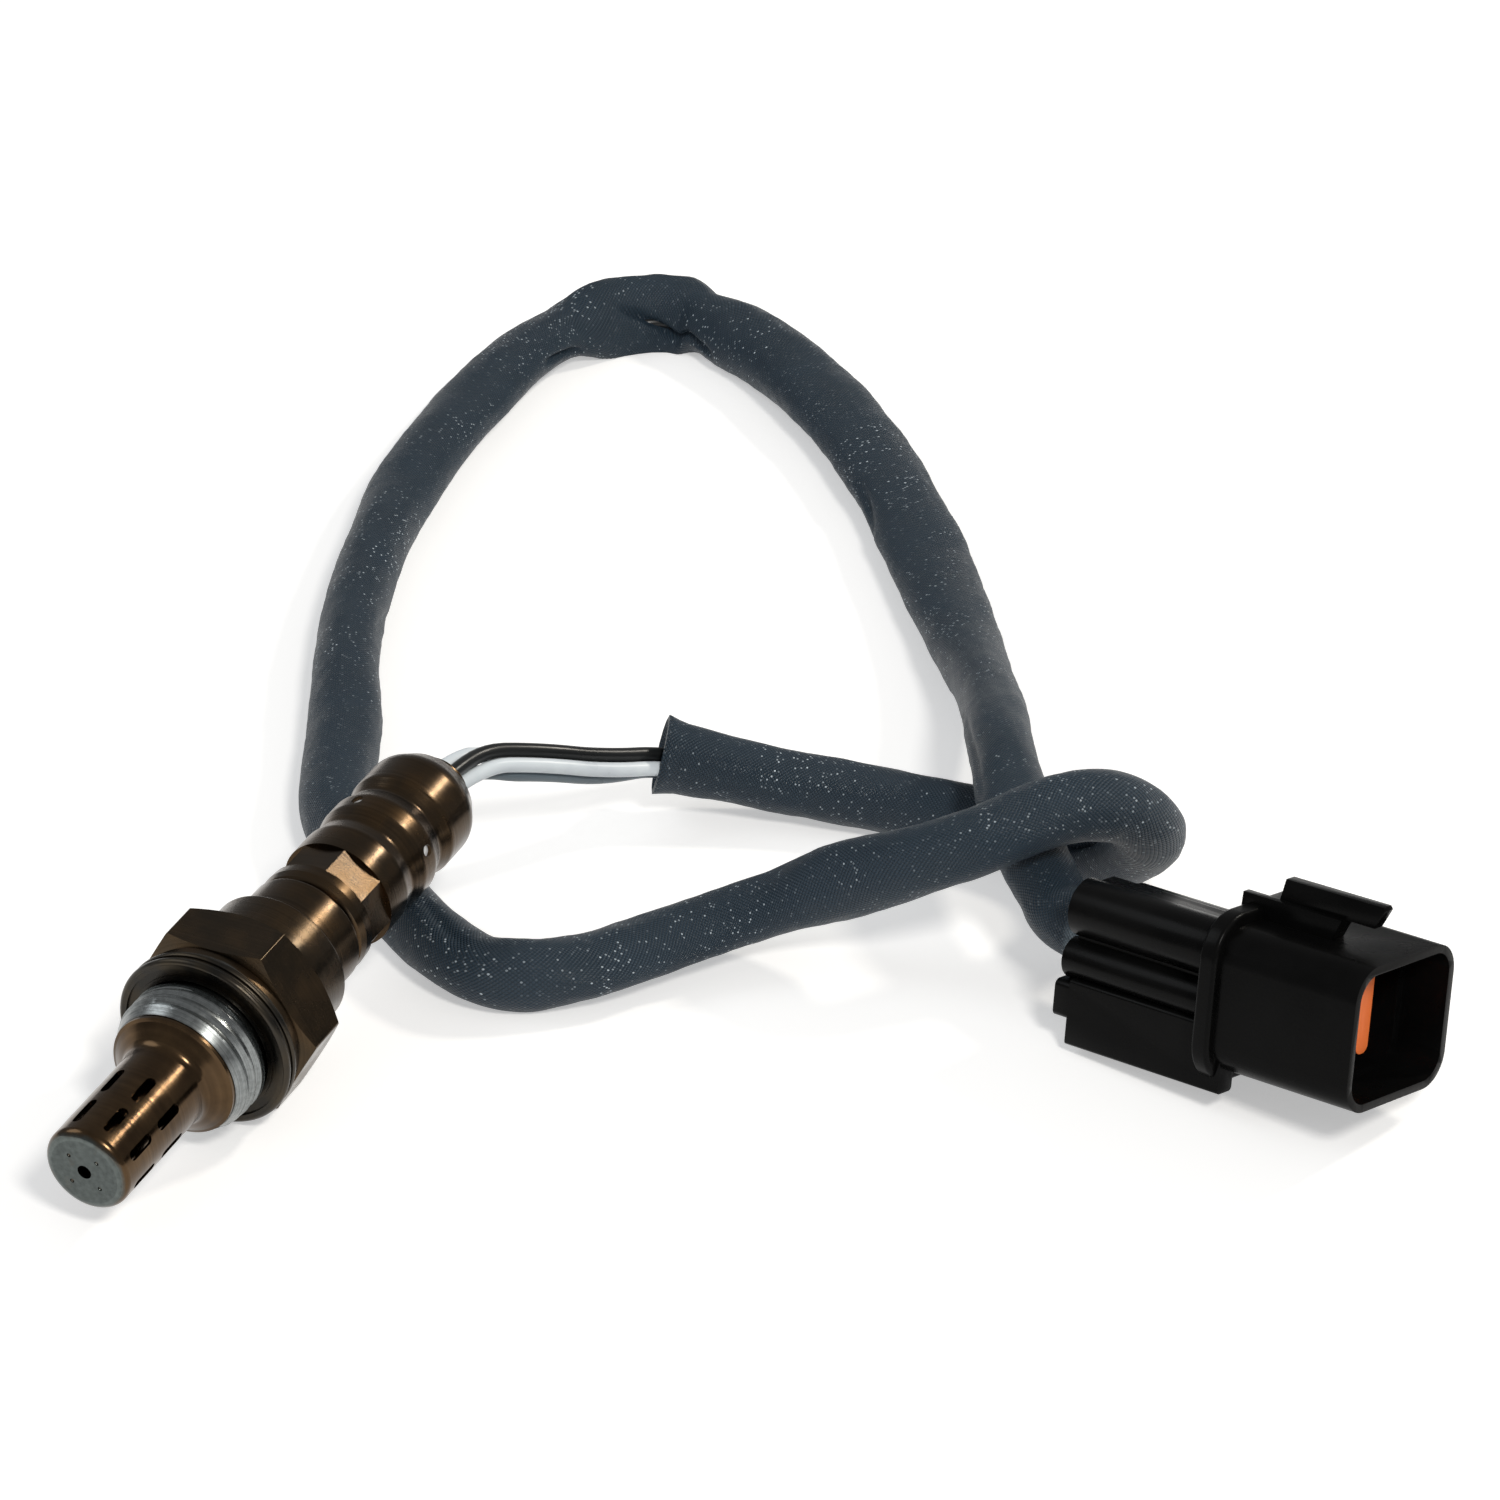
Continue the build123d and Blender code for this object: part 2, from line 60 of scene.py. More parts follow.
# The ridge's profile: each step along in eighths of the pitch, and its rise in heights.
RIDGE_PROFILE = ((0.5, 0), (2.7, 1), (1.1, 0), (2.7, -1), (1.0, 0))
RIDGE_TURNS, RIDGE_STEPS = 5, 96

# Stretches where the steel is bare and silver, in mm from the tip.
BARE_TIP, BARE_THREAD = (-1.0, 0.3), (19.6, 28.4)

# The connector: the middle of its mouth, the way out of it, and its upper side.
MOUTH = Vector((46.5, -124.0, 14.07)) * MM
PLUG_OUT = Vector((-0.2188, -0.97088, 0.09758))
PLUG_TOP = Vector((0.2453, 0.04207, 0.96853))

# The wires at the connector, in mm: how far behind the mouth they end, and how far each
# is from their middle on both sides, within the sleeve and within the housing.
WIRE_DEPTH = 35.0
BUNDLE_SPREAD, CAVITY_SPREAD = 1.05, 2.7

# Corners of the harness's centre line in mm, from the grommet to the connector.
WIRE_RUN = [
    (36.356, 0, 16.166), (46.81, 0, 17.154), (55.5, -6, 14.5), (63, -10.5, 11),
]
SLEEVE_RUN = [
    (71.5, -14.5, 8.5), (76, -24, 6), (80, -36.5, 4.25), (81.5, -51.5, 4.25),
    (82, -63, 4.25), (80, -71.5, 4.6), (77, -78, 9), (72.8, -81, 15.6),
    (68, -78, 20.6), (62.5, -72.5, 21.1), (56.5, -68, 19.5), (51.5, -61, 16.8),
    (50, -51, 12), (47.5, -41.5, 7), (40.5, -33, 4.25), (29.5, -27, 4.25),
    (22, -19, 4.25), (24.7, -8.6, 4.25), (34.5, 5.2, 4.25), (45.5, 19, 4.25),
    (64.5, 27.5, 4.25), (83, 38.5, 4.25), (105.5, 48, 4.25), (130.5, 55.5, 4.25),
    (156, 59, 4.25), (175.5, 59.5, 4.25), (185, 54, 4.25), (191.5, 46.5, 4.25),
    (190, 36.5, 4.25), (183.5, 23.5, 4.25), (171.5, 8, 4.25), (153.5, -9, 4.25),
    (134, -24, 4.25), (115, -37.5, 6), (98, -48.5, 10.5), (87, -54, 13.6),
    (75.5, -61, 13.9), (65.6, -68, 12.5), (60.7, -73.2, 11.1), (57.188, -76.573, 9.303),
    (55.952, -82.058, 9.855),
]

# How the soft sleeve lies: distance from its end at the head, half its width across the
# path, half its height, and its lean about the path in degrees; all lengths in mm.
SLEEVE_SHAPE = [
    (0, 4.9, 5.2, 0), (0.8, 4.5, 4.9, 0), (3, 3.9, 4.6, 0), (11, 4.3, 4.1, 0), (21, 4.5, 3.9, 0),
    (40, 4.3, 4.1, 0), (51, 4.1, 4.4, 0), (60, 4.4, 4.4, 0), (67, 4.6, 4.2, 0), (75, 4.8, 4.4, 0),
    (84, 4.7, 4.3, 0), (95, 4.5, 4.0, 0), (104, 3.8, 4.3, 0), (118, 3.5, 4.9, 0),
    (129, 4.7, 3.6, 0), (139, 5.6, 2.6, 0), (149, 5.5, 2.8, 0), (161, 4.0, 4.6, 0),
    (168, 4.6, 3.8, 0), (178, 4.3, 4.1, 0), (196, 4.3, 4.1, 0), (209, 4.6, 3.9, 0),
    (228, 4.9, 3.6, 0), (247, 4.3, 4.1, 0), (279, 4.3, 4.1, 0), (297, 5.1, 3.3, 0),
    (311, 5.1, 3.3, 0), (322, 5.4, 2.9, 0), (336, 5.0, 3.3, 0), (346, 4.6, 3.4, 0),
    (357, 6.0, 3.0, 60), (367, 6.0, 3.0, 60), (371, 4.6, 4.2, 40), (378, 5.6, 4.2, 20),
    (384, 5.7, 4.0, 10), (400, 6.1, 3.4, 0), (411, 6.0, 2.8, 0), (423, 5.9, 2.7, 0),
    (433, 5.6, 2.8, 0), (445, 5.9, 2.6, 0), (462, 5.5, 2.9, 0), (475, 5.0, 3.3, 0),
    (494, 4.0, 4.2, 0), (509, 4.2, 4.2, 0), (522, 4.2, 4.2, 0), (532, 4.7, 3.8, 0),
    (543, 4.4, 3.5, 0), (551, 4.2, 3.7, 0), (558, 4.6, 4.2, 0), (566, 5.4, 5.2, 0),
]

# Folds pressed into the sleeve: where each starts and ends (distance in mm, and degrees
# from the sleeve's left side over its top), then its half width and depth in mm.
SLEEVE_CREASES = [
    (56, 152, 69, 126, 0.5, 1.8), (167, 72, 178, 98, 0.8, 0.6), (252, 150, 262, 195, 0.8, 0.5),
    (337, 165, 348, 196, 0.6, 1.2), (356, 76, 378, 172, 0.55, 1.7), (428, 148, 442, 178, 1.0, 0.7),
    (507, 172, 532, 150, 0.8, 0.6),
]

# The sleeve's unevenness: its share of the radius, how fast it changes round the sleeve
# and in each mm along it, and where in the noise it starts.
SLEEVE_RIPPLES = ((0.035, 1.4, 0.16, 0), (0.02, 3, 0.5, 40))

# The sleeve's usual radius, wall and frayed end in mm, and how many sides the mesh of the
# sleeve and of a wire has.
SLEEVE_RADIUS, SLEEVE_WALL, FRAYED_LENGTH = 4.3, 0.6, 2.4
SLEEVE_SIDES, WIRE_SIDES = 72, 14

# Where each wire lies beside the bundle's centre line: distance from the grommet, then
# its offset to the left and upwards; all in mm.
WIRE_LAY = {
    "black_wire": [(0, -0.88, 1.2), (6, -0.88, 1.2), (13, -0.3, 1.0), (28, -0.6, 0.85),
                   (40, -0.9, 0.7), (60, -0.88, 1.2)],
    "white_wire_b": [(0, 1.2, 0.88), (6, 1.2, 0.88), (11, 1.7, 0.3), (16, 1.5, -1.0),
                     (40, 1.2, -0.9), (60, 1.2, 0.88)],
    "grey_wire": [(0, 0.88, -1.2), (6, 0.88, -1.2), (18, -1.1, -1.95), (27, -1.1, -1.95),
                  (40, -0.5, -1.6), (60, 0.88, -1.2)],
    "white_wire_a": [(0, -1.2, -0.88), (6, -1.2, -0.88), (13, -1.95, -0.3), (28, -2.2, -0.45),
                     (40, -2.4, -0.6), (60, -1.2, -0.88)],
}

# Edges of the mouldings that turn by more than this are rounded.
SHARP_ANGLE = math.radians(32.0)

# The camera, the middle of what the lamps light, and each lamp's place and width in
# metres, power in watts and colour.
CAMERA_PLACE = Vector((-505.3, -320.2, 391.9)) * MM
CAMERA_FORWARD = Vector((0.7690, 0.3908, -0.5058))
LIT_PLACE = Vector((0.05, -0.02, 0.01))
LAMPS = {
    "key_lamp": ((-0.55, -0.75, 1.0), 0.26, 8.4, (1.0, 0.97, 0.92)),
    "side_lamp": ((0.8, -0.56, 0.76), 0.15, 4.6, (1.0, 0.94, 0.84)),
    "back_lamp": ((-0.2, 0.9, 0.8), 0.7, 2.4, (0.94, 0.97, 1.0)),
}


def srgb(red, green, blue):
    """A colour given as 0 to 255 on a screen, as the shader wants it."""
    def straight(value):
        value /= 255
        return value / 12.92 if value <= 0.04045 else ((value + 0.055) / 1.055) ** 2.4
    return tuple(straight(value) for value in (red, green, blue))


# Each wire's cavity in the connector (to its side and up), colour and material slot.
WIRES = {
    "black_wire": ((-1, 1), srgb(18, 20, 21), "black_insulation"),
    "white_wire_b": ((1, 1), srgb(212, 220, 228), "white_insulation"),
    "grey_wire": ((1, -1), srgb(96, 108, 116), "grey_insulation"),
    "white_wire_a": ((-1, -1), srgb(212, 220, 228), "white_insulation"),
}


# ---- sizes and colours that a user would change ----
class HarnessSettings(bpy.types.PropertyGroup):
    sleeve_diameter: bpy.props.FloatProperty(
        name="Sleeve Diameter", description="Outside diameter of the woven sleeve",
        default=0.0084, unit="LENGTH")
    wire_diameter: bpy.props.FloatProperty(
        name="Wire Diameter", description="Outside diameter of each wire",
        default=0.0019, unit="LENGTH")
    weave_pitch: bpy.props.FloatProperty(
        name="Weave Pitch", description="Distance from one thread crossing to the next",
        default=0.00052, unit="LENGTH")
    sleeve_colour: bpy.props.FloatVectorProperty(
        name="Sleeve Colour", description="Colour of the coated weave",
        default=srgb(36, 52, 65), subtype="COLOR", min=0, max=1)


class HeadSettings(bpy.types.PropertyGroup):
    thread_pitch: bpy.props.FloatProperty(
        name="Thread Pitch", description="Advance of the thread in one turn",
        default=0.0015, unit="LENGTH")
    steel_colour: bpy.props.FloatVectorProperty(
        name="Steel Colour", description="Warm tint of the turned shell",
        default=srgb(66, 57, 46), subtype="COLOR", min=0, max=1)
    protector_colour: bpy.props.FloatVectorProperty(
        name="Protector Colour", description="Heat tint of the tip tube",
        default=srgb(78, 62, 46), subtype="COLOR", min=0, max=1)


class ConnectorSettings(bpy.types.PropertyGroup):
    housing_colour: bpy.props.FloatVectorProperty(
        name="Housing Colour", description="Colour of the moulded housing",
        default=srgb(6, 6, 6), subtype="COLOR", min=0, max=1)
    retainer_colour: bpy.props.FloatVectorProperty(
        name="Retainer Colour", description="Colour of the terminal retainer",
        default=srgb(226, 108, 40), subtype="COLOR", min=0, max=1)


# ---- material nodes ----
class Finish:
    """A material and short ways to add nodes to it."""

    def __init__(self, name, colour, roughness, metallic=0.0, **sockets):
        self.material = bpy.data.materials.new(name)
        self.material.use_nodes = True
        self.tree = self.material.node_tree
        self.shader = self.tree.nodes["Principled BSDF"]
        self.shader.inputs["Base Color"].default_value = (*colour, 1.0)
        self.shader.inputs["Roughness"].default_value = roughness
        self.shader.inputs["Metallic"].default_value = metallic
        for socket, value in sockets.items():
            self.shader.inputs[socket.replace("_", " ")].default_value = value

    def node(self, kind, inputs=(), **settings):
        """Adds a node with its settings and what each of its inputs gets."""
        made = self.tree.nodes.new(kind)
        for key, value in settings.items():
            setattr(made, key, value)
        for key, value in dict(inputs).items():
            self.feed(made.inputs[key], value)
        return made

    def feed(self, socket, value):
        """Links a socket to another, or sets its plain value."""
        if isinstance(value, bpy.types.NodeSocket):
            self.tree.links.new(value, socket)
        else:
            socket.default_value = value

    def maths(self, operation, *values):
        """The result of a sum on values or sockets."""
        made = self.node("ShaderNodeMath", operation=operation)
        for socket, value in zip(made.inputs, values):
            self.feed(socket, value)
        return made.outputs[0]

    def place(self):
        """The point being shaded."""
        return self.node("ShaderNodeTexCoord").outputs["Object"]

    def chart(self):
        """The point's length and girth on a cord."""
        return self.node("ShaderNodeUVMap", uv_map="UVMap").outputs["UV"]

    def along(self, origin, axis):
        """Distance in mm from a point, measured along an axis."""
        scaled = self.node("ShaderNodeVectorMath", {0: self.place(), 1: axis * 1000},
                           operation="DOT_PRODUCT")
        return self.maths("SUBTRACT", scaled.outputs["Value"], origin.dot(axis) * 1000)

    def noise(self, scale, detail):
        """Cloudy greys in space."""
        return self.node("ShaderNodeTexNoise", {
            "Vector": self.place(), "Scale": scale, "Detail": detail,
            "Roughness": 0.55}).outputs["Fac"]

    def ramp(self, value, *stops):
        """A grey that goes from one stop's shade to the other's between their places."""
        made = self.node("ShaderNodeValToRGB", {"Fac": value})
        for element, (place, grey) in zip(made.color_ramp.elements, stops):
            element.position = place
            element.color = (grey, grey, grey, 1)
        return made.outputs["Color"]

    def spread(self, value, low, high, to_low=0.0, to_high=1.0):
        """A value carried over from one range to another."""
        return self.node("ShaderNodeMapRange", {
            "Value": value, "From Min": low, "From Max": high,
            "To Min": to_low, "To Max": to_high}).outputs["Result"]

    def blend(self, factor, first, second, mode="MIX"):
        """Two colours mixed by a factor."""
        made = self.node("ShaderNodeMix", data_type="RGBA", blend_type=mode)
        self.feed(made.inputs[0], factor)
        for socket, value in ((made.inputs[6], first), (made.inputs[7], second)):
            flat = not isinstance(value, bpy.types.NodeSocket)
            self.feed(socket, (*value[:3], 1) if flat else value)
        return made.outputs[2]

    def rise(self, height, distance, strength):
        """Raises the surface by a height from 0 to 1 times a distance in metres."""
        bump = self.node("ShaderNodeBump", {
            "Height": height, "Distance": distance, "Strength": strength})
        self.tree.links.new(bump.outputs["Normal"], self.shader.inputs["Normal"])

    def set(self, socket, value):
        """Feeds an input of the shader."""
        self.feed(self.shader.inputs[socket], value)


def coat_node(node, material):
    """Gives a CAD node its finish."""
    slots = NODES[node].material_slots
    for slot in slots:
        slot.link = "OBJECT"
        slot.material = material


# ---- finishes ----
def turned_steel(name, colour, roughness, ring_scale, tint, bare=None, zone=(0.0, 0.0)):
    """Machined steel: fine rings round the head's axis, with a mottled warm tint.

    With a bare colour, the steel is silver and scratched in a zone, in mm from the tip.
    """
    finish = Finish(name, colour, roughness, metallic=1.0)
    along = finish.along(TIP, HEAD_AXIS)
    rings = finish.node("ShaderNodeTexNoise", {"W": along, "Scale": ring_scale, "Detail": 4.0,
                                               "Roughness": 0.7}, noise_dimensions="1D")
    mottle = finish.noise(220.0, 4.0)
    warm = finish.blend(finish.ramp(mottle, (0.35, 0.0), (0.7, 1.0)), colour, tint)
    shade = finish.ramp(rings.outputs["Fac"], (0.3, 0.72), (0.7, 1.0))
    toned = finish.blend(1.0, warm, shade, "MULTIPLY")
    if bare:
        scratches = finish.node("ShaderNodeTexNoise", {
            "W": along, "Scale": 9.0, "Detail": 5.0, "Roughness": 0.8}, noise_dimensions="1D")
        scuffed = finish.maths("MULTIPLY", scratches.outputs["Fac"],
                               finish.spread(finish.noise(1500.0, 2.0), 0.3, 0.7, 0.86, 1.12))
        silver = finish.blend(finish.ramp(scuffed, (0.38, 0.0), (0.62, 1.0)),
                              tuple(c * 0.5 for c in bare), bare)
        edge = finish.maths("ADD", along, finish.spread(mottle, 0.3, 0.7, -0.2, 0.2))
        within = finish.maths("MULTIPLY", finish.spread(edge, zone[0] - 0.2, zone[0] + 0.2),
                              finish.spread(edge, zone[1] - 0.2, zone[1] + 0.2, 1.0, 0.0))
        toned = finish.blend(within, toned, silver)
    finish.set("Base Color", toned)
    finish.set("Roughness", finish.spread(mottle, 0.3, 0.7, roughness - 0.05, roughness + 0.1))
    finish.rise(rings.outputs["Fac"], 0.00003, 0.6)
    return finish.material


def plain_moulding(name, colour, roughness, grain=1800.0, depth=0.00002, shine=0.5):
    """Moulded plastic or rubber with a fine grain."""
    finish = Finish(name, colour, roughness, Specular_IOR_Level=shine)
    grain_height = finish.noise(grain, 2.0)
    cloud = finish.noise(90.0, 3.0)
    lighter = tuple(min(1.0, c * 1.35 + 0.002) for c in colour)
    finish.set("Base Color", finish.blend(finish.ramp(cloud, (0.35, 0.0), (0.75, 1.0)),
                                          colour, lighter))
    finish.set("Roughness", finish.spread(cloud, 0.3, 0.7, roughness - 0.05, roughness + 0.08))
    finish.rise(grain_height, depth, 0.5)
    return finish.material


def woven_coating(settings, scale, frayed_from):
    """Coated weave: crossing threads as small domes with painted shade in their hollows; a few
    domes are smoother and carry a painted highlight.
    """
    finish = Finish("woven_sleeve", settings.sleeve_colour, 0.42, Specular_IOR_Level=0.35)
    split = finish.node("ShaderNodeSeparateXYZ", {"Vector": finish.chart()})
    length, girth = split.outputs["X"], split.outputs["Y"]
    rising = finish.maths("ADD", length, girth)
    falling = finish.maths("SUBTRACT", length, girth)
    domes = finish.maths("MULTIPLY",
                         finish.maths("ABSOLUTE", finish.maths("SINE", rising)),
                         finish.maths("ABSOLUTE", finish.maths("SINE", falling)))
    height = finish.maths("SQRT", domes)
    cell = finish.node("ShaderNodeCombineXYZ", {
        "X": finish.maths("FLOOR", finish.maths("DIVIDE", rising, math.pi)),
        "Y": finish.maths("FLOOR", finish.maths("DIVIDE", falling, math.pi))})
    chance = finish.node("ShaderNodeTexWhiteNoise", {"Vector": cell.outputs["Vector"]},
                         noise_dimensions="2D").outputs["Value"]
    patches = finish.ramp(finish.noise(80.0, 2.0), (0.46, 0.0), (0.64, 1.0))
    bright = finish.maths("MULTIPLY", finish.ramp(chance, (0.9, 0.0), (0.99, 1.0)),
                          finish.ramp(height, (0.62, 0.0), (0.85, 1.0)))
    painted_glint = finish.maths("MULTIPLY", bright, finish.spread(patches, 0.0, 1.0, 0.15, 1.0))
    cloud = finish.noise(140.0, 4.0)
    colour = settings.sleeve_colour
    pale, painted_hollow_shade = tuple(c * 1.25 for c in colour), tuple(c * 0.62 for c in colour)
    body = finish.blend(finish.ramp(cloud, (0.3, 0.0), (0.75, 1.0)), colour, pale)
    # Painted shade: the hollows between the thread crossings are painted darker than the domes.
    woven = finish.blend(finish.ramp(height, (0.15, 0.0), (0.75, 1.0)), painted_hollow_shade, body)
    # Painted highlight: a few dome cells are painted pale bluish white in the base colour, besides
    # being smoother.
    woven = finish.blend(painted_glint, woven, srgb(205, 218, 228))
    past = finish.maths("SUBTRACT", length, frayed_from * scale)
    tufts = finish.maths("MULTIPLY", finish.ramp(finish.spread(past, 0.0, 2.0 * scale),
                                                 (0.0, 0.0), (1.0, 1.0)),
                         finish.ramp(finish.noise(900.0, 3.0), (0.34, 0.0), (0.55, 1.0)))
    finish.set("Base Color", finish.blend(tufts, woven, srgb(150, 166, 176)))
    dull = finish.spread(cloud, 0.3, 0.75, 0.36, 0.52)
    finish.set("Roughness", finish.maths("SUBTRACT", dull, finish.maths("MULTIPLY", painted_glint, 0.25)))
    finish.rise(height, 0.00016, 0.8)
    return finish.material


def head_finishes(settings):
    """Finishes for the head's CAD nodes."""
    tube = turned_steel("protector_tube", settings.protector_colour, 0.17, 1.4,
                        srgb(98, 78, 56), srgb(98, 104, 102), BARE_TIP)
    cover = turned_steel("drawn_cover", srgb(74, 63, 51), 0.22, 2.0, srgb(88, 69, 48))
    gasket = turned_steel("folded_gasket", srgb(58, 56, 53), 0.3, 4.0, srgb(76, 68, 56))
    ceramic = plain_moulding("white_ceramic", srgb(230, 228, 220), 0.6, 900.0)
    zirconia = plain_moulding("zirconia", srgb(226, 222, 208), 0.5, 700.0)
    talc = plain_moulding("talc", srgb(205, 202, 195), 0.9, 500.0, 0.00008)
    membrane = plain_moulding("vent_membrane", srgb(236, 238, 240), 0.5, 1500.0)
    rubber = plain_moulding("grommet_rubber", srgb(24, 24, 24), 0.5, 1200.0, shine=0.3)
    tin = turned_steel("tinned_terminal", srgb(196, 190, 176), 0.3, 5.0, srgb(200, 180, 140))
    wears = {
        "outer_protector": tube, "inner_protector": tube,
        "gasket": gasket, "seal_washer": gasket, "crimp_ring": gasket,
        "sensing_element": zirconia, "heater_rod": ceramic, "talc_packing": talc,
        "ceramic_bushing": ceramic, "ceramic_insulator": ceramic, "base_sleeve": cover,
        "outer_cover": cover, "inner_cover": cover, "vent_filter": membrane, "grommet": rubber,
        "signal_terminal_inner": tin, "signal_terminal_outer": tin,
        "heater_terminal_a": tin, "heater_terminal_b": tin,
    }
    for node, material in wears.items():
        coat_node(node, material)


def connector_finishes(settings):
    """Finishes for the connector's CAD nodes."""
    black = plain_moulding("black_housing", settings.housing_colour, 0.27, shine=0.07)
    orange = plain_moulding("orange_retainer", settings.retainer_colour, 0.45)
    seal = plain_moulding("seal_rubber", srgb(84, 88, 92), 0.6, 1200.0)
    tin = turned_steel("tinned_blade", srgb(200, 196, 184), 0.28, 5.0, srgb(206, 188, 150))
    housing = merged_copy("connector_housing", "plug_housing")
    soften_edges(housing, 0.00028)
    finish_piece(housing, black, "connector_housing", 40.0)
    retainer = merged_copy("terminal_retainer", "plug_retainer")
    soften_edges(retainer, 0.0003)
    finish_piece(retainer, orange, "terminal_retainer", 40.0)
    for number in range(1, 5):
        coat_node(f"blade_terminal_{number}", tin)
        coat_node(f"wire_seal_{number}", seal)


# ---- modelling by hand ----
def pick_only(piece):
    """Selects one piece and makes it active."""
    bpy.ops.object.select_all(action="DESELECT")
    piece.select_set(True)
    bpy.context.view_layer.objects.active = piece


def edit(piece):
    """Opens a piece's vertices for editing."""
    pick_only(piece)
    bpy.ops.object.mode_set(mode="EDIT")
    bpy.ops.mesh.select_mode(type="VERT")


def leave_edit():
    """Goes back to whole pieces."""
    bpy.ops.object.mode_set(mode="OBJECT")


def merged_copy(node, name):
    """A CAD node's mesh as a piece of its own, with its loose triangles joined."""
    piece = bpy.data.objects.new(name, NODES[node].data.copy())
    bpy.context.scene.collection.objects.link(piece)
    piece.data.materials.clear()
    edit(piece)
    bpy.ops.mesh.select_all(action="SELECT")
    bpy.ops.mesh.remove_doubles(threshold=0.000005)
    bpy.ops.mesh.customdata_custom_splitnormals_clear()
    leave_edit()
    return piece


def head_place(point):
    """Distance from the tip and from the axis, in mm."""
    offset = point - TIP
    along = offset.dot(HEAD_AXIS)
    return along / MM, (offset - HEAD_AXIS * along).length / MM


def select_where(piece, test):
    """Selects the vertices that a test on their place accepts, in edit mode."""
    leave_edit()
    for vertex in piece.data.vertices:
        vertex.select = test(vertex.co)
    for edge in piece.data.edges:
        edge.select = all(piece.data.vertices[i].select for i in edge.vertices)
    for face in piece.data.polygons:
        face.select = all(piece.data.vertices[i].select for i in face.vertices)
    bpy.ops.object.mode_set(mode="EDIT")


def finish_piece(piece, material, node, smooth):
    """Gives a piece its finish and lets it stand for a CAD node.

    Edges that turn by less than the smooth angle, in degrees, are shaded as round.
    """
    piece.data.materials.clear()
    piece.data.materials.append(material)
    pick_only(piece)
    bpy.ops.object.shade_smooth_by_angle(angle=math.radians(smooth))
    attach(piece, "root")
    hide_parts(node)


def weigh_ridges(piece):
    """Marks the edges that stick out, and leaves the grooves sharp."""
    mesh = piece.data
    beside = {}
    for face in mesh.polygons:
        for key in face.edge_keys:
            beside.setdefault(key, []).append(face)
    weights = mesh.attributes.new("bevel_weight_edge", "FLOAT", "EDGE")
    for edge in mesh.edges:
        faces = beside.get(edge.key, [])
        if len(faces) == 2 and faces[0].normal.angle(faces[1].normal, 0.0) > SHARP_ANGLE:
            apart = (faces[1].center - faces[0].center).normalized()
            sticks_out = apart.dot(faces[0].normal) < -0.02
            weights.data[edge.index].value = float(sticks_out)


def soften_edges(piece, width):
    """Rounds a moulded or machined piece's sharp edges slightly."""
    edit(piece)
    bpy.ops.mesh.select_all(action="SELECT")
    bpy.ops.mesh.dissolve_limited(angle_limit=math.radians(1.0))
    leave_edit()
    weigh_ridges(piece)
    bevel = piece.modifiers.new("edges", "BEVEL")
    bevel.width = width
    bevel.segments = 2
    bevel.limit_method = "WEIGHT"
    bevel.use_clamp_overlap = True
    bpy.ops.object.modifier_apply(modifier=bevel.name)


def in_band(start, end, inner, outer):
    """A test for places between two distances from the tip and two radii, in mm."""
    near = 0.03

    def test(point):
        along, away = head_place(point)
        return start - near < along < end + near and inner < away < outer
    return test


def cut_thread(piece, pitch):
    """Turns the shell's plain thread band into a groove with a helical ridge in it."""
    near_crest, near_root, size = CREST - 0.05, 0.03, ROOT / CREST
    edit(piece)
    select_where(piece, in_band(THREAD_START, THREAD_END, near_crest, math.inf))
    bpy.ops.mesh.delete(type="ONLY_FACE")
    for place in (THREAD_START, THREAD_END):
        select_where(piece, in_band(place, place, near_crest, math.inf))
        if place == THREAD_END:
            bpy.ops.mesh.extrude_edges_move()
        bpy.ops.transform.resize(value=(size, size, size),
                                 center_override=TIP + HEAD_AXIS * place * MM)
    select_where(piece, in_band(THREAD_START, THREAD_END, ROOT - near_root, ROOT + near_root))
    bpy.ops.mesh.select_mode(type="EDGE")
    bpy.ops.mesh.bridge_edge_loops()
    bpy.ops.mesh.select_all(action="SELECT")
    bpy.ops.mesh.normals_make_consistent(inside=False)
    leave_edit()
    ridge = helical_ridge(pitch)
    bpy.ops.object.select_all(action="DESELECT")
    ridge.select_set(True)
    piece.select_set(True)
    bpy.context.view_layer.objects.active = piece
    bpy.ops.object.join()


def taper_start(ridge):
    """Brings the first turns of the thread down to the taper of the nose, in thin slices."""
    slice_width, hair = 0.2, 0.001
    tapered = THREAD_START - TAPER_START
    edit(ridge)
    for index in range(round(tapered / slice_width)):
        size = 1 - (tapered - (index + 0.5) * slice_width) * NOSE_SLOPE / CREST
        select_where(ridge, lambda point: int(
            (point.x / MM - TAPER_START) / slice_width + hair) == index)
        bpy.ops.transform.resize(value=(1, size, size), center_override=(0, 0, 0))
    leave_edit()


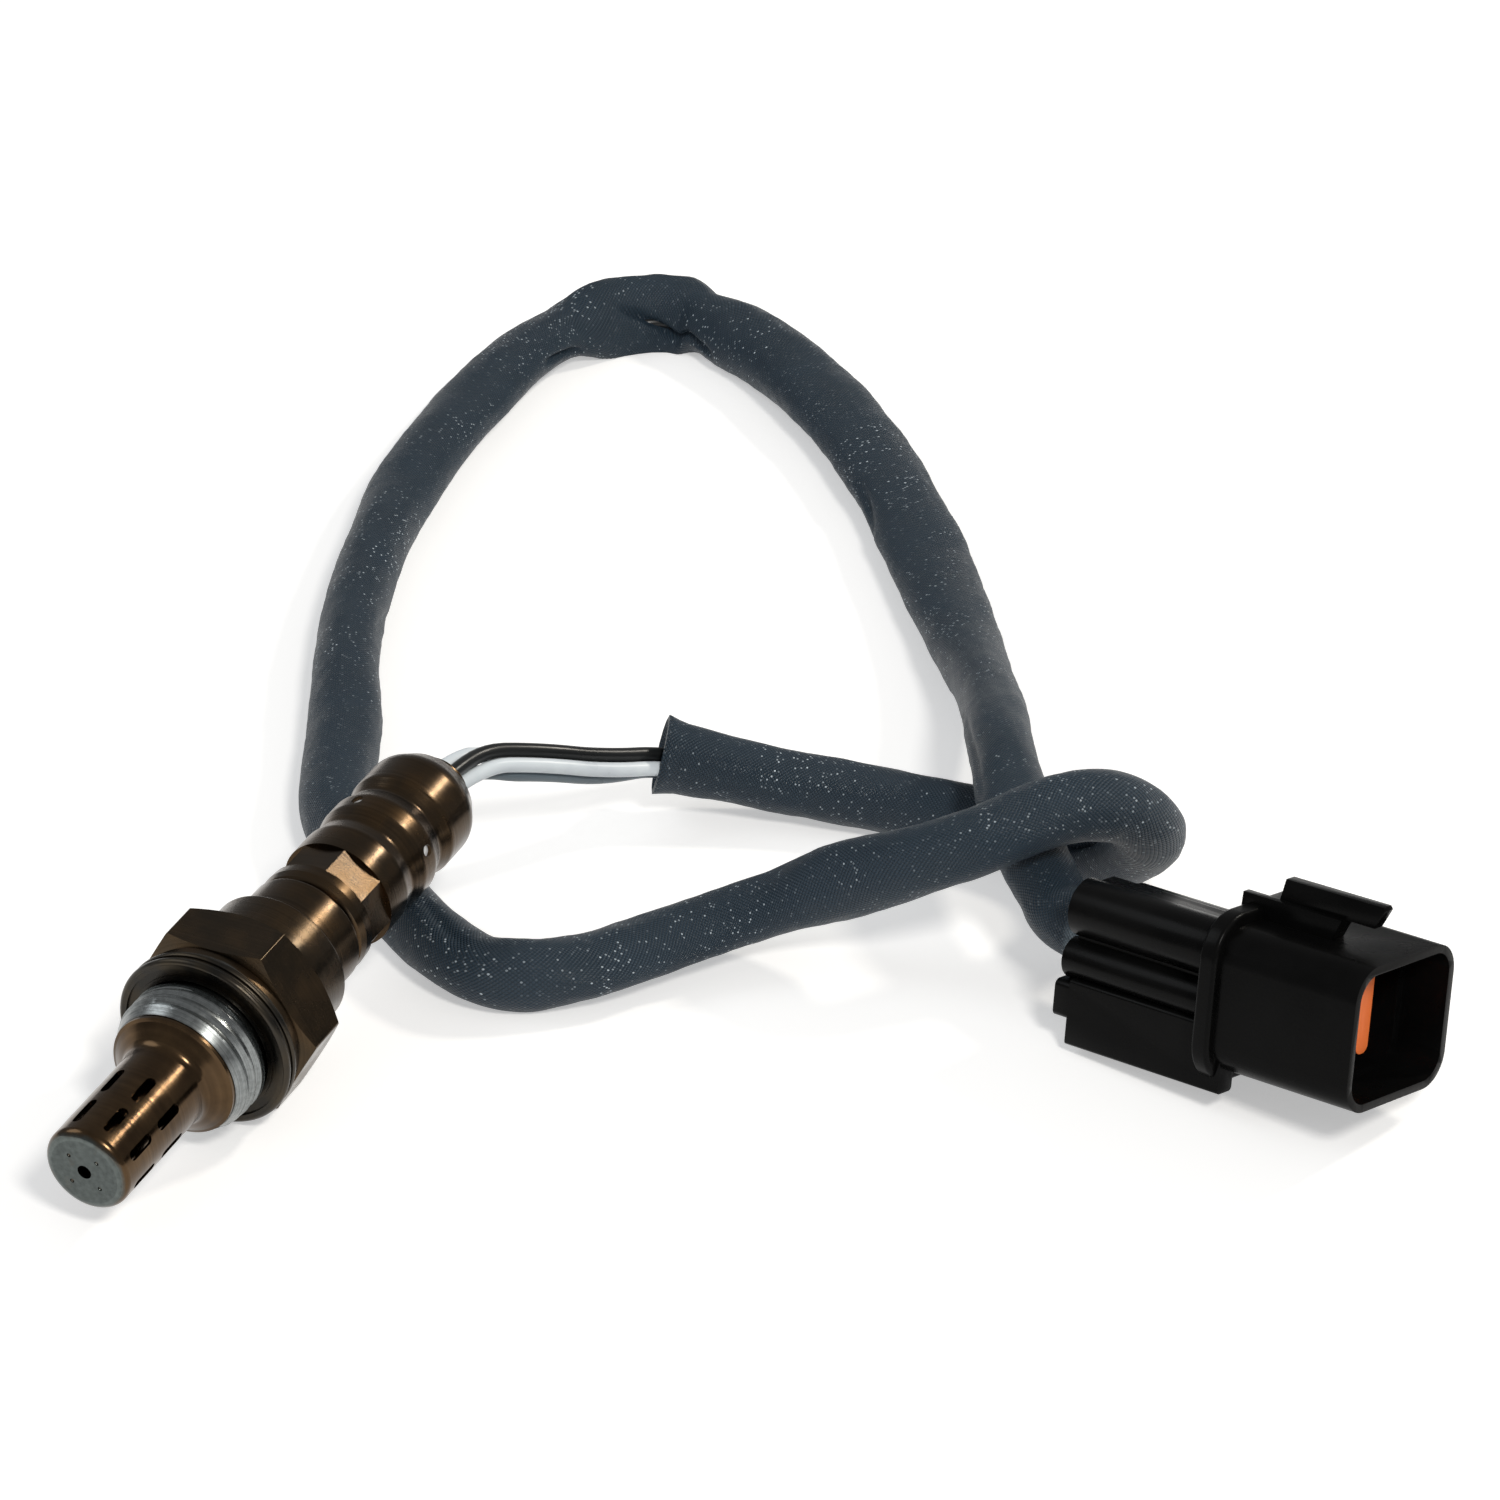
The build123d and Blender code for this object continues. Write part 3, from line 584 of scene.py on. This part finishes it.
def helical_ridge(pitch):
    """One thread profile screwed round the head's axis and trimmed to the band."""
    foot, top = ROOT - 0.02, CREST - 0.01
    bpy.ops.mesh.primitive_plane_add(size=0.001, location=(0, 0, 0))
    ridge = bpy.context.object
    ridge.name = "thread_ridge"
    edit(ridge)
    bpy.ops.mesh.select_all(action="SELECT")
    bpy.ops.mesh.merge(type="CENTER")
    bpy.ops.transform.translate(value=(TAPER_START * MM - pitch, 0, foot * MM))
    for run, rise in RIDGE_PROFILE:
        bpy.ops.mesh.extrude_region_move(
            TRANSFORM_OT_translate={"value": (run * pitch / 8, 0, rise * (top - foot) * MM)})
    leave_edit()
    screw = ridge.modifiers.new("screw", "SCREW")
    screw.axis = "X"
    screw.angle = 2 * math.pi
    screw.screw_offset = pitch
    screw.iterations = RIDGE_TURNS
    screw.steps = RIDGE_STEPS
    screw.render_steps = RIDGE_STEPS
    screw.use_merge_vertices = True
    screw.merge_threshold = 0.000002
    bpy.ops.object.modifier_apply(modifier=screw.name)
    edit(ridge)
    for place, outer in ((TAPER_START, False), (THREAD_END, True)):
        bpy.ops.mesh.select_all(action="SELECT")
        bpy.ops.mesh.bisect(plane_co=(place * MM, 0, 0), plane_no=(1, 0, 0),
                            clear_inner=not outer, clear_outer=outer)
    bpy.ops.mesh.select_all(action="SELECT")
    bpy.ops.mesh.normals_make_consistent(inside=False)
    leave_edit()
    taper_start(ridge)
    slope = math.atan2(HEAD_AXIS.z, HEAD_AXIS.x)
    ridge.matrix_world = Matrix.Translation(TIP) @ Matrix.Rotation(-slope, 4, "Y")
    pick_only(ridge)
    bpy.ops.object.transform_apply(location=True, rotation=True, scale=True)
    return ridge


# ---- harness ----
def smooth_line(name, corners, resolution):
    """The points that a smooth curve follows past a cord's corners."""
    curve = bpy.data.curves.new(name, "CURVE")
    curve.dimensions = "3D"
    curve.resolution_u = resolution
    spline = curve.splines.new("NURBS")
    spline.points.add(len(corners) - 1)
    for point, corner in zip(spline.points, corners):
        point.co = (*[value * MM for value in corner], 1.0)
    spline.order_u = 3
    spline.use_endpoint_u = True
    holder = bpy.data.objects.new(name, curve)
    bpy.context.scene.collection.objects.link(holder)
    bpy.context.view_layer.update()
    mesh = bpy.data.meshes.new_from_object(holder)
    line = [vertex.co.copy() for vertex in mesh.vertices]
    bpy.data.objects.remove(holder)
    bpy.data.meshes.remove(mesh)
    bpy.data.curves.remove(curve)
    return line


def carried_frames(line):
    """A sideways and an upward direction at each point, carried along without twist."""
    frames = []
    side = None
    for index in range(len(line)):
        before, after = line[max(index - 1, 0)], line[min(index + 1, len(line) - 1)]
        forward = (after - before).normalized()
        if side is None:
            side = HEAD_LEFT.copy()
        side = (side - forward * side.dot(forward)).normalized()
        frames.append((side, forward.cross(side)))
    return frames


def distances(line):
    """How far along a line each of its points is."""
    total, result = 0.0, [0.0]
    for first, second in zip(line, line[1:]):
        total += (second - first).length
        result.append(total)
    return result


def skin(name, rings, stations, girth):
    """A tube's mesh through rings of points, with a chart of length and girth."""
    around = len(rings[0])
    vertices = [point for ring in rings for point in ring]
    faces = []
    chart = []
    for row in range(len(rings) - 1):
        for column in range(around):
            following = (column + 1) % around
            faces.append((row * around + column, row * around + following,
                          (row + 1) * around + following, (row + 1) * around + column))
            low, high = column / around * girth, (column + 1) / around * girth
            chart += [(stations[row], low), (stations[row], high),
                      (stations[row + 1], high), (stations[row + 1], low)]
    mesh = bpy.data.meshes.new(name)
    mesh.from_pydata(vertices, [], faces)
    layer = mesh.uv_layers.new(name="UVMap")
    for loop, place in zip(layer.data, chart):
        loop.uv = place
    mesh.validate()
    mesh.shade_smooth()
    piece = bpy.data.objects.new(name, mesh)
    bpy.context.scene.collection.objects.link(piece)
    return piece


def between(table, place):
    """The values of a table's row at a place, eased from one row to the next."""
    if place <= table[0][0]:
        return table[0][1:]
    for (start, *first), (end, *second) in zip(table, table[1:]):
        if place <= end:
            share = (place - start) / (end - start)
            share = share * share * (3 - 2 * share)
            return [a + (b - a) * share for a, b in zip(first, second)]
    return table[-1][1:]


def crease_depth(place, angle):
    """How far the sleeve is pressed in by its folds at a place and an angle, in mm."""
    depth = 0.0
    for start, start_angle, end, end_angle, half_width, deepest in SLEEVE_CREASES:
        share = (place - start) / (end - start)
        if 0 < share < 1:
            middle = start_angle + (end_angle - start_angle) * share
            away = math.radians((angle - middle + 180) % 360 - 180) * SLEEVE_RADIUS
            depth += (deepest * math.sqrt(math.sin(math.pi * share))
                      * math.exp(-(away / half_width) ** 2))
    return depth


def soft_ring(line, index, station):
    """One cross-section of the soft sleeve, flattened where it lies on the ground."""
    least_height = 0.00003
    before, after = line[max(index - 1, 0)], line[min(index + 1, len(line) - 1)]
    forward = (after - before).normalized()
    side = Vector((0, 0, 1)).cross(forward).normalized()
    up = forward.cross(side)
    half_width, half_height, lean = between(SLEEVE_SHAPE, station / MM)
    turn = math.radians(lean)
    wide = side * math.cos(turn) + up * math.sin(turn)
    tall = up * math.cos(turn) - side * math.sin(turn)
    ring = []
    for k in range(SLEEVE_SIDES):
        angle = 2 * math.pi * k / SLEEVE_SIDES
        sunk = crease_depth(station / MM, math.degrees(angle))
        ripple = 1.0
        for share, around, along, start in SLEEVE_RIPPLES:
            ripple += share * noise.noise((math.cos(angle) * around, math.sin(angle) * around,
                                           station / MM * along + start))
        place = line[index] + (wide * (half_width * ripple - sunk) * math.cos(angle)
                               + tall * (half_height * ripple - sunk) * math.sin(angle)) * MM
        place.z = max(place.z, least_height)
        ring.append(place)
    return ring


def line_the_inside(piece, thickness):
    """Gives an open tube a wall that is seen at its ends."""
    wall = piece.modifiers.new("wall", "SOLIDIFY")
    wall.thickness = thickness
    wall.offset = -1.0
    bpy.context.view_layer.objects.active = piece
    bpy.ops.object.modifier_apply(modifier=wall.name)


def strand(name, line, frames, stations, lay, radius):
    """One wire of the bundle, laid beside the centre line by a table of offsets in mm."""
    rings, path = [], []
    for (side, up), point, station in zip(frames, line, stations):
        across, rise = between(lay, station / MM)
        path.append(point + (side * across + up * rise) * MM)
    for index, centre in enumerate(path):
        before, after = path[max(index - 1, 0)], path[min(index + 1, len(path) - 1)]
        forward = (after - before).normalized()
        side = frames[index][0]
        side = (side - forward * side.dot(forward)).normalized()
        up = forward.cross(side)
        rings.append([centre + (side * math.cos(a) + up * math.sin(a)) * radius
                      for a in (2 * math.pi * k / WIRE_SIDES for k in range(WIRE_SIDES))])
    piece = skin(name, rings, [s * 1000 for s in stations], 2 * math.pi * radius * 1000)
    return piece, path


def finish_wire(piece, node, diameter):
    """Lets a piece stand for a wire of the CAD."""
    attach(piece, "root")
    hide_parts(node)


# ---- operators ----
class SENSOR_OT_stage(bpy.types.Operator):
    """Adds the floor, the lights and the camera"""
    bl_idname = "sensor.stage"
    bl_label = "Stage"

    def execute(self, context):
        context.scene.view_settings.view_transform = "Standard"
        bpy.ops.mesh.primitive_plane_add(size=6.0, location=(0.05, -0.02, 0.0))
        floor = context.object
        floor.name = "floor"
        finish = Finish("pale_floor", (0.86, 0.86, 0.86), 0.9)
        rays = finish.node("ShaderNodeLightPath")
        seen = finish.maths("MAXIMUM", rays.outputs["Is Camera Ray"],
                            finish.maths("MAXIMUM", rays.outputs["Is Glossy Ray"],
                                         rays.outputs["Is Transmission Ray"]))
        finish.set("Emission Color", (1.0, 1.0, 1.0, 1.0))
        glow = 0.42
        finish.set("Emission Strength", finish.maths("MULTIPLY", seen, glow))
        floor.data.materials.append(finish.material)
        self.light_sky(context)
        for name, lamp in LAMPS.items():
            self.add_lamp(context, name, *lamp)
        self.add_camera(context)
        return {"FINISHED"}

    def light_sky(self, context):
        """Fills in the shadows from all round."""
        world = bpy.data.worlds.new("studio_sky")
        context.scene.world = world
        world.use_nodes = True
        background = world.node_tree.nodes["Background"]
        background.inputs["Color"].default_value = (0.98, 0.99, 1.0, 1.0)
        background.inputs["Strength"].default_value = 0.3

    def add_lamp(self, context, name, place, size, power, colour):
        """A round lamp that points at the part."""
        data = bpy.data.lights.new(name, "AREA")
        data.shape = "DISK"
        data.size = size
        data.energy = power
        data.color = colour
        lamp = bpy.data.objects.new(name, data)
        lamp.location = place
        lamp.rotation_euler = (LIT_PLACE - lamp.location).to_track_quat("-Z", "Y").to_euler()
        context.scene.collection.objects.link(lamp)

    def add_camera(self, context):
        """The camera that every view starts from."""
        data = bpy.data.cameras.new("camera")
        data.sensor_width = 36.0
        data.lens = 144.0
        data.clip_end = 20.0
        camera = bpy.data.objects.new("camera", data)
        camera.location = CAMERA_PLACE
        camera.rotation_euler = CAMERA_FORWARD.to_track_quat("-Z", "Y").to_euler()
        context.scene.collection.objects.link(camera)
        context.scene.camera = camera


class SENSOR_OT_harness(bpy.types.Operator):
    """Lays the woven sleeve and its four wires"""
    bl_idname = "sensor.harness"
    bl_label = "Harness"

    def execute(self, context):
        settings = context.scene.harness_settings
        ends = ["plug_housing", "plug_retainer"]
        ends += [f"blade_terminal_{n}" for n in range(1, 5)]
        ends += [f"wire_seal_{n}" for n in range(1, 5)]
        self.lay_sleeve(settings, ends)
        self.lay_wires(settings, ends)
        return {"FINISHED"}

    def lay_sleeve(self, settings, ends):
        """The woven sleeve, from its end at the head to its end at the connector."""
        line = smooth_line("sleeve_line", SLEEVE_RUN, 16)
        stations = distances(line)
        rings = [soft_ring(line, index, station) for index, station in enumerate(stations)]
        girth = math.pi * settings.sleeve_diameter
        threads = 2 * round(girth / settings.weave_pitch / 2)
        scale = math.pi / settings.weave_pitch
        piece = skin("woven_sleeve", rings, [s * scale for s in stations], threads * math.pi)
        line_the_inside(piece, SLEEVE_WALL * MM)
        piece.data.materials.append(woven_coating(settings, scale / 1000,
                                                  stations[-1] * 1000 - FRAYED_LENGTH))
        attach(piece, "root")
        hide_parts("sleeve")
        tuple(line[0])
        [tuple(p) for p in line]

    def lay_wires(self, settings, ends):
        """The four wires, from the grommet through the sleeve into the housing."""
        inside = MOUTH - PLUG_OUT * WIRE_DEPTH * MM
        run = WIRE_RUN + SLEEVE_RUN[:-1] + [tuple(inside / MM)]
        line = smooth_line("bundle_line", run, 10)
        frames, stations = carried_frames(line), distances(line)
        side, up = frames[-1]
        landing = math.atan2(PLUG_TOP.dot(up), PLUG_TOP.dot(side))
        end = stations[-1] / MM
        for node, ((a, b), colour, slot) in WIRES.items():
            across = a * math.cos(landing) - b * math.sin(landing)
            rise = a * math.sin(landing) + b * math.cos(landing)
            lay = WIRE_LAY[node] + [
                (end - before, across * spread, rise * spread)
                for before, spread in ((60, BUNDLE_SPREAD), (12, BUNDLE_SPREAD),
                                       (6, CAVITY_SPREAD), (0, CAVITY_SPREAD))]
            piece, path = strand(node + "_skin", line, frames, stations, lay,
                                 settings.wire_diameter / 2)
            piece.data.materials.append(plain_moulding(node + "_skin", colour, 0.3, 900.0,
                                                       shine=0.4))
            finish_wire(piece, node, settings.wire_diameter)


class SENSOR_OT_head(bpy.types.Operator):
    """Finishes the metal head and the pieces inside it"""
    bl_idname = "sensor.head"
    bl_label = "Head"

    def execute(self, context):
        settings = context.scene.head_settings
        head_finishes(settings)
        shell = merged_copy("metal_shell", "threaded_shell")
        cut_thread(shell, settings.thread_pitch)
        steel = turned_steel("turned_shell", settings.steel_colour, 0.24, 3.2,
                             srgb(84, 68, 50), srgb(150, 154, 154), BARE_THREAD)
        finish_piece(shell, steel, "metal_shell", 30.0)
        return {"FINISHED"}


class SENSOR_OT_connector(bpy.types.Operator):
    """Finishes the connector and its terminals"""
    bl_idname = "sensor.connector"
    bl_label = "Connector"

    def execute(self, context):
        connector_finishes(context.scene.connector_settings)
        return {"FINISHED"}


class SENSOR_PT_panel(bpy.types.Panel):
    """Lists the steps that finish the sensor"""
    bl_idname = "SENSOR_PT_panel"
    bl_label = "Oxygen Sensor"
    bl_space_type = "VIEW_3D"
    bl_region_type = "UI"
    bl_category = "Oxygen Sensor"

    def draw(self, context):
        """The values that can be changed, then a button for each step."""
        layout = self.layout
        scene = context.scene
        for settings in (scene.harness_settings, scene.head_settings, scene.connector_settings):
            box = layout.box()
            for name in settings.__annotations__:
                box.prop(settings, name)
        for step in STEPS:
            layout.operator(step.bl_idname)


STEPS = (SENSOR_OT_stage, SENSOR_OT_connector, SENSOR_OT_harness, SENSOR_OT_head)
GROUPS = {"harness_settings": HarnessSettings, "head_settings": HeadSettings,
          "connector_settings": ConnectorSettings}


def register():
    """Adds the settings, the steps and the panel."""
    for group in GROUPS.values():
        bpy.utils.register_class(group)
    for step in STEPS:
        bpy.utils.register_class(step)
    bpy.utils.register_class(SENSOR_PT_panel)
    for name, group in GROUPS.items():
        setattr(bpy.types.Scene, name, bpy.props.PointerProperty(type=group))


def unregister():
    """Takes the settings, the steps and the panel away again."""
    for name in GROUPS:
        delattr(bpy.types.Scene, name)
    bpy.utils.unregister_class(SENSOR_PT_panel)
    for step in reversed(STEPS):
        bpy.utils.unregister_class(step)
    for group in reversed(GROUPS.values()):
        bpy.utils.unregister_class(group)


def main():
    """Builds the whole sensor."""
    register()
    bpy.ops.object.select_all(action="DESELECT")
    bpy.ops.sensor.stage()
    bpy.ops.sensor.connector()
    bpy.ops.sensor.harness()
    bpy.ops.sensor.head()


if __name__ == "__main__":
    main()
